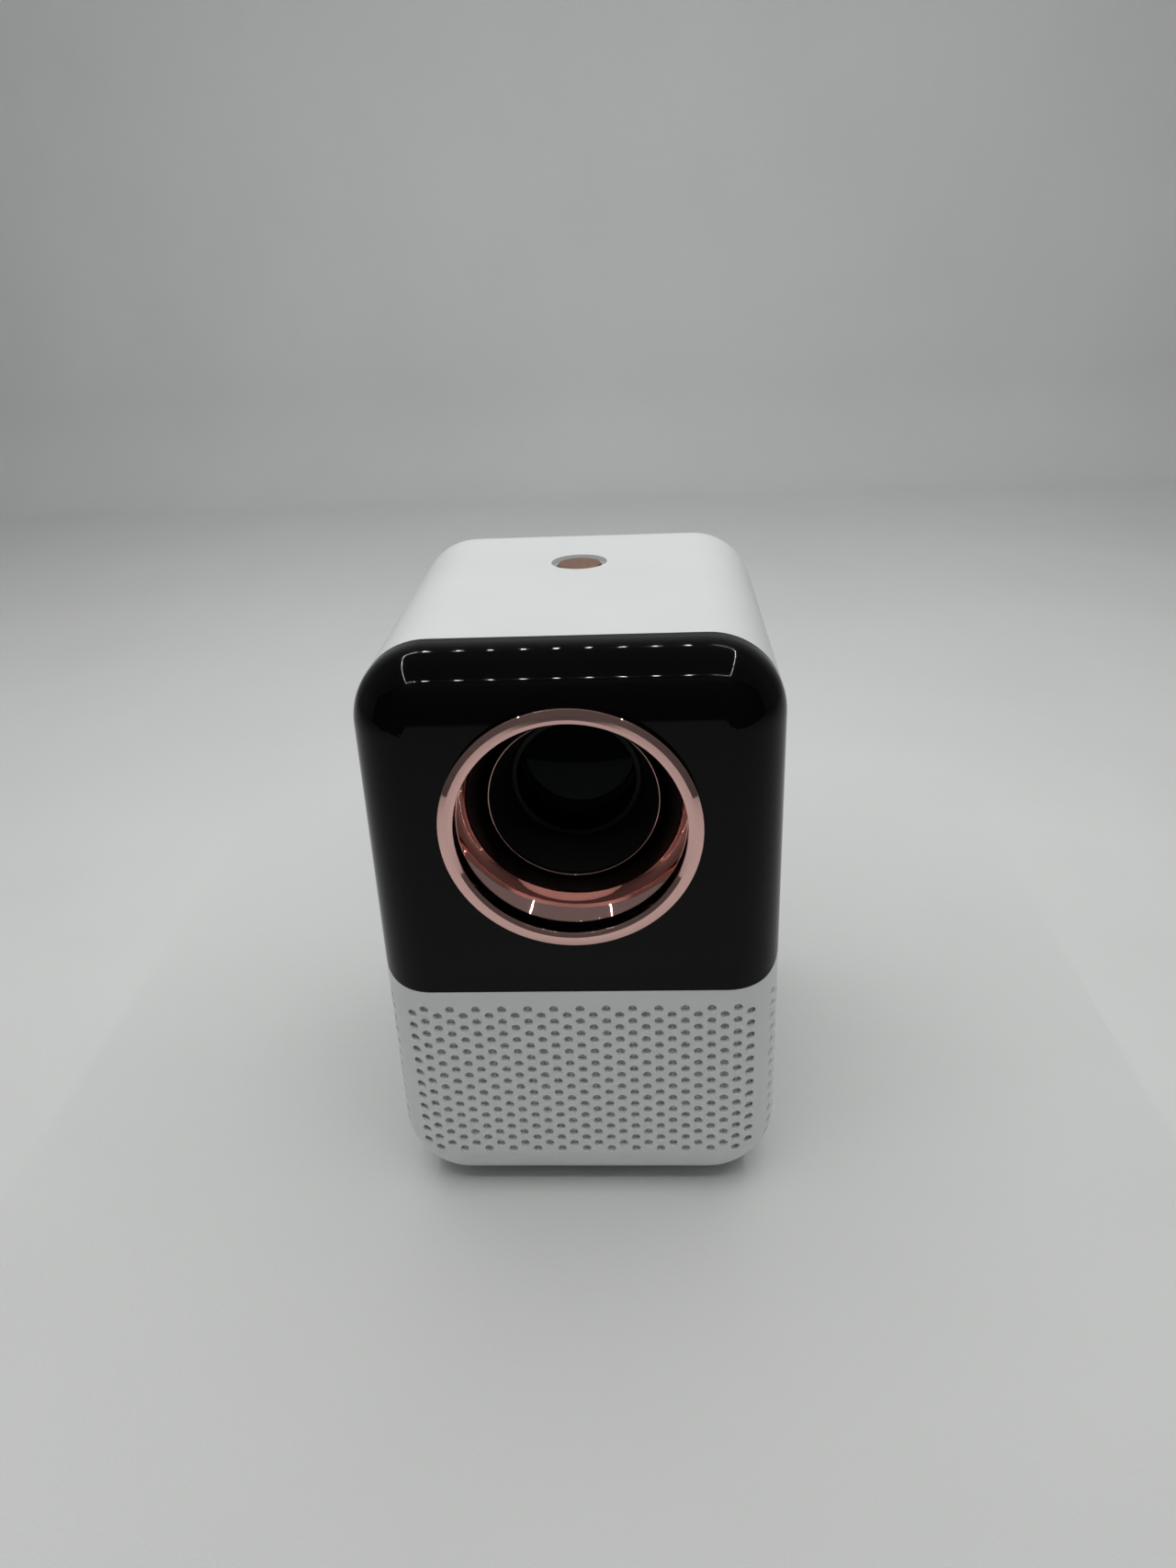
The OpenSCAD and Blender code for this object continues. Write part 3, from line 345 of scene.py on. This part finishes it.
def rubber():
    s = Shader("rubber", (0.03, 0.03, 0.031), 0.75)
    s.vary_color(s.noise(200, 3), (0.02, 0.02, 0.021), (0.045, 0.045, 0.046))
    s.bump(s.noise(1500, 3), 0.00004)
    return s.material


def mirror():
    s = Shader("mirror_coating", (0.85, 0.87, 0.9), 0.03, metallic=1.0)
    s.vary_roughness(s.noise(80, 3), 0.02, 0.05)
    return s.material


MATERIALS = {
    "white_plastic": shell_white,
    "black_gloss": panel_black,
    "rose_satin": ring_satin,
    "rose_polished": bowl_polished,
    "copper_button": button_copper,
    "grey_plastic": lambda: moulded("grey_plastic", (0.36, 0.37, 0.38), 0.42, edge=0.0001),
    "black_plastic": lambda: moulded("black_plastic", (0.008, 0.008, 0.009), 0.45, ior=1.28, edge=0.00015),
    "lens_glass": lens_front_glass,
    "optic_glass": lambda: optical_glass("optic_glass", (0.93, 0.96, 1.0)),
    "dichroic": lambda: optical_glass("dichroic_glass", (0.45, 0.6, 0.95)),
    "cloth": lambda: woven("grille_cloth", (0.78, 0.79, 0.79)),
    "rubber": rubber,
    "steel": lambda: brushed("steel", (0.58, 0.58, 0.59), 0.32, edge=0.0001),
    "alloy": lambda: brushed("alloy", (0.72, 0.73, 0.74), 0.42, stretch=(1, 20, 1)),
    "copper": lambda: brushed("copper", (0.78, 0.42, 0.28), 0.3),
    "brass": lambda: brushed("brass", (0.78, 0.62, 0.32), 0.28, stretch=(30, 30, 1)),
    "board": lambda: fibre_board("circuit_board", (0.03, 0.14, 0.07)),
    "chip": lambda: moulded("chip_epoxy", (0.025, 0.025, 0.028), 0.5),
    "lamp": lambda: moulded("lamp_ceramic", (0.75, 0.75, 0.66), 0.5),
    "magnet": lambda: brushed("magnet", (0.22, 0.22, 0.23), 0.5),
    "paper": lambda: moulded("cone_paper", (0.05, 0.05, 0.055), 0.8, grain=900, height=0.0001),
    "mirror": mirror,
}


def dress_nodes():
    """Gives each CAD node its slot's material, and returns the materials by slot."""
    made = {}
    for part in frame["record"]["subparts"]:
        slot = part["material_slot"]
        if slot not in made:
            made[slot] = MATERIALS[slot]()
        mesh = NODES[part["node"]].data
        mesh.materials.clear()
        mesh.materials.append(made[slot])
    return made


# ---------- turned pieces that the CAD model leaves simple ----------

def make_front_glass(material):
    """The front lens with smooth curved faces; returns its front's y and its radius."""
    low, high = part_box("front_lens")
    edge_r = high.x
    front_bulge, back_bulge, chamfer, count = 1.9 * MM, 0.6 * MM, 0.15 * MM, 24
    radii = [(edge_r - chamfer) * i / count for i in range(count + 1)]
    front = [(r, low.y + front_bulge * (r / edge_r) ** 2) for r in radii]
    back = [(r, high.y - back_bulge * (r / edge_r) ** 2) for r in reversed(radii)]
    rim = [(edge_r, front[-1][1] + chamfer), (edge_r, back[0][1] - chamfer)]
    glass = lathe("front_glass", front + rim + back, LENS_Z)
    glass.data.materials.append(material)
    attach(glass, "lens")
    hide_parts("front_lens")
    return low.y, edge_r


def make_lens_retainer(material, glass_front, edge_r):
    """The slim black ring that holds the front lens in its barrel."""
    inner, outer = edge_r - 1.3 * MM, edge_r
    front, back, round_r = glass_front + 0.6 * MM, glass_front + 1.45 * MM, 0.3 * MM
    rounded = arc((inner + round_r, front + round_r), round_r, 180, 270, 6)
    section = [(inner, back), *rounded, (outer, front), (outer, back + 0.2 * MM)]
    retainer = lathe("lens_retainer", section, LENS_Z)
    retainer.data.materials.append(material)
    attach(retainer, "lens")


def make_bowl_lip(material):
    """The rolled edge at the bowl's narrow end."""
    throat_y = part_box("lens_bowl")[1].y
    lip_r = 0.15 * MM
    centre = (THROAT_R + 0.05 * MM, throat_y - 0.08 * MM)
    lip = lathe("bowl_lip", arc(centre, lip_r, 0, 337.5, 15), LENS_Z)
    lip.data.materials.append(material)
    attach(lip, "case")


# ---------- studio ----------

def stage_material(name, sockets):
    """A plain material for the stage, from values for the Principled shader's sockets."""
    material = bpy.data.materials.new(name)
    material.use_nodes = True
    bsdf = material.node_tree.nodes["Principled BSDF"]
    for socket, value in sockets.items():
        bsdf.inputs[socket].default_value = value
    return material


def backdrop_material():
    s = Shader("backdrop", (0.74, 0.75, 0.745), 0.9)
    s.vary_color(s.noise(5, 3), (0.725, 0.735, 0.73), (0.755, 0.765, 0.76))
    s.bump(s.noise(900, 3), 0.0002, 0.6)
    s.bump(s.noise(9, 2), 0.01, 0.5)
    return s.material


def make_backdrop():
    """A pale floor that curves up into a wall behind."""
    radius, top, half_width, far_front = 0.1, 1.9, 3.0, -3.0
    profile = [(far_front, 0.0), (FLOOR_FRONT, 0.0), (0.0, 0.0), (WALL_Y - radius, 0.0)]
    steps = 12
    for i in range(1, steps + 1):
        a = math.pi / 2 * i / steps
        profile.append((WALL_Y - radius + radius * math.sin(a), radius - radius * math.cos(a)))
    profile.append((WALL_Y + 0.02, top))
    columns = [-half_width, half_width]
    vertices = [(x, y, z) for y, z in profile for x in columns]
    faces = [(2 * i, 2 * i + 1, 2 * i + 3, 2 * i + 2) for i in range(len(profile) - 1)]
    floor = mesh_object("floor", vertices, faces, smooth=True)
    floor.data.materials.append(backdrop_material())


def make_lamps():
    """A rectangular frame of small lamps overhead, as in a photo tent."""
    height, half_x, front, back = 0.58, 0.29, -0.35, 0.25
    pitch, size = 0.0225, 0.0018
    spots = []
    count = int(2 * half_x / pitch)
    for i in range(count + 1):
        x = -half_x + i * pitch
        spots += [(x, front), (x, back)]
    count = int((back - front) / pitch)
    for i in range(1, count):
        y = front + i * pitch
        spots += [(-half_x, y), (half_x, y)]
    vertices, faces = [], []
    for x, y in spots:
        k = len(vertices)
        vertices += [(x - size, y - size, height), (x - size, y + size, height),
                     (x + size, y + size, height), (x + size, y - size, height)]
        faces.append((k, k + 1, k + 2, k + 3))
    lamps = mesh_object("lamps", vertices, faces)
    lamps.data.materials.append(stage_material("lamp_light", {
        "Base Color": (0, 0, 0, 1),
        "Emission Color": (1.0, 0.995, 0.98, 1),
        "Emission Strength": 470,
    }))


def make_flag():
    """A dark card in front, seen only in reflections, like the opening of a photo tent."""
    y, bottom, top, half = FLOOR_FRONT - 0.01, 0.001, 0.56, 1.2
    corners = [(-half, y, bottom), (half, y, bottom), (half, y, top), (-half, y, top)]
    card = mesh_object("flag", corners, [(0, 1, 2, 3)])
    card.data.materials.append(stage_material("flag_grey", {
        "Base Color": (0.16, 0.16, 0.16, 1),
        "Roughness": 1,
        "Specular IOR Level": 0,
    }))
    card.visible_camera = False


def make_world():
    world = bpy.data.worlds.new("studio")
    world.use_nodes = True
    background = world.node_tree.nodes["Background"]
    background.inputs["Color"].default_value = (0.80, 0.82, 0.82, 1)
    background.inputs["Strength"].default_value = 0.20
    bpy.context.scene.world = world


def area_light(name, position, target, size, power):
    """A soft light that doesn't show in reflections."""
    data = bpy.data.lights.new(name, "AREA")
    data.shape = "RECTANGLE"
    data.size, data.size_y = size
    data.energy = power
    light = bpy.data.objects.new(name, data)
    light.location = position
    light.rotation_euler = (Vector(target) - Vector(position)).to_track_quat("-Z", "Y").to_euler()
    light.visible_glossy = False
    bpy.context.scene.collection.objects.link(light)


make_camera()
finishes = dress_nodes()
glass_front, glass_r = make_front_glass(finishes["lens_glass"])
make_lens_retainer(finishes["black_plastic"], glass_front, glass_r)
make_bowl_lip(finishes["rose_polished"])
make_backdrop()
make_lamps()
make_flag()
make_world()
area_light("top_fill", position=(0, -0.05, 0.75), target=(0, 0, 0), size=(0.8, 0.8), power=2)
area_light("wall_fill", position=(0, 0.35, 0.7), target=(0, 0.95, 0.25), size=(1.6, 0.5), power=1.7)
bpy.context.scene.view_settings.view_transform = "Standard"
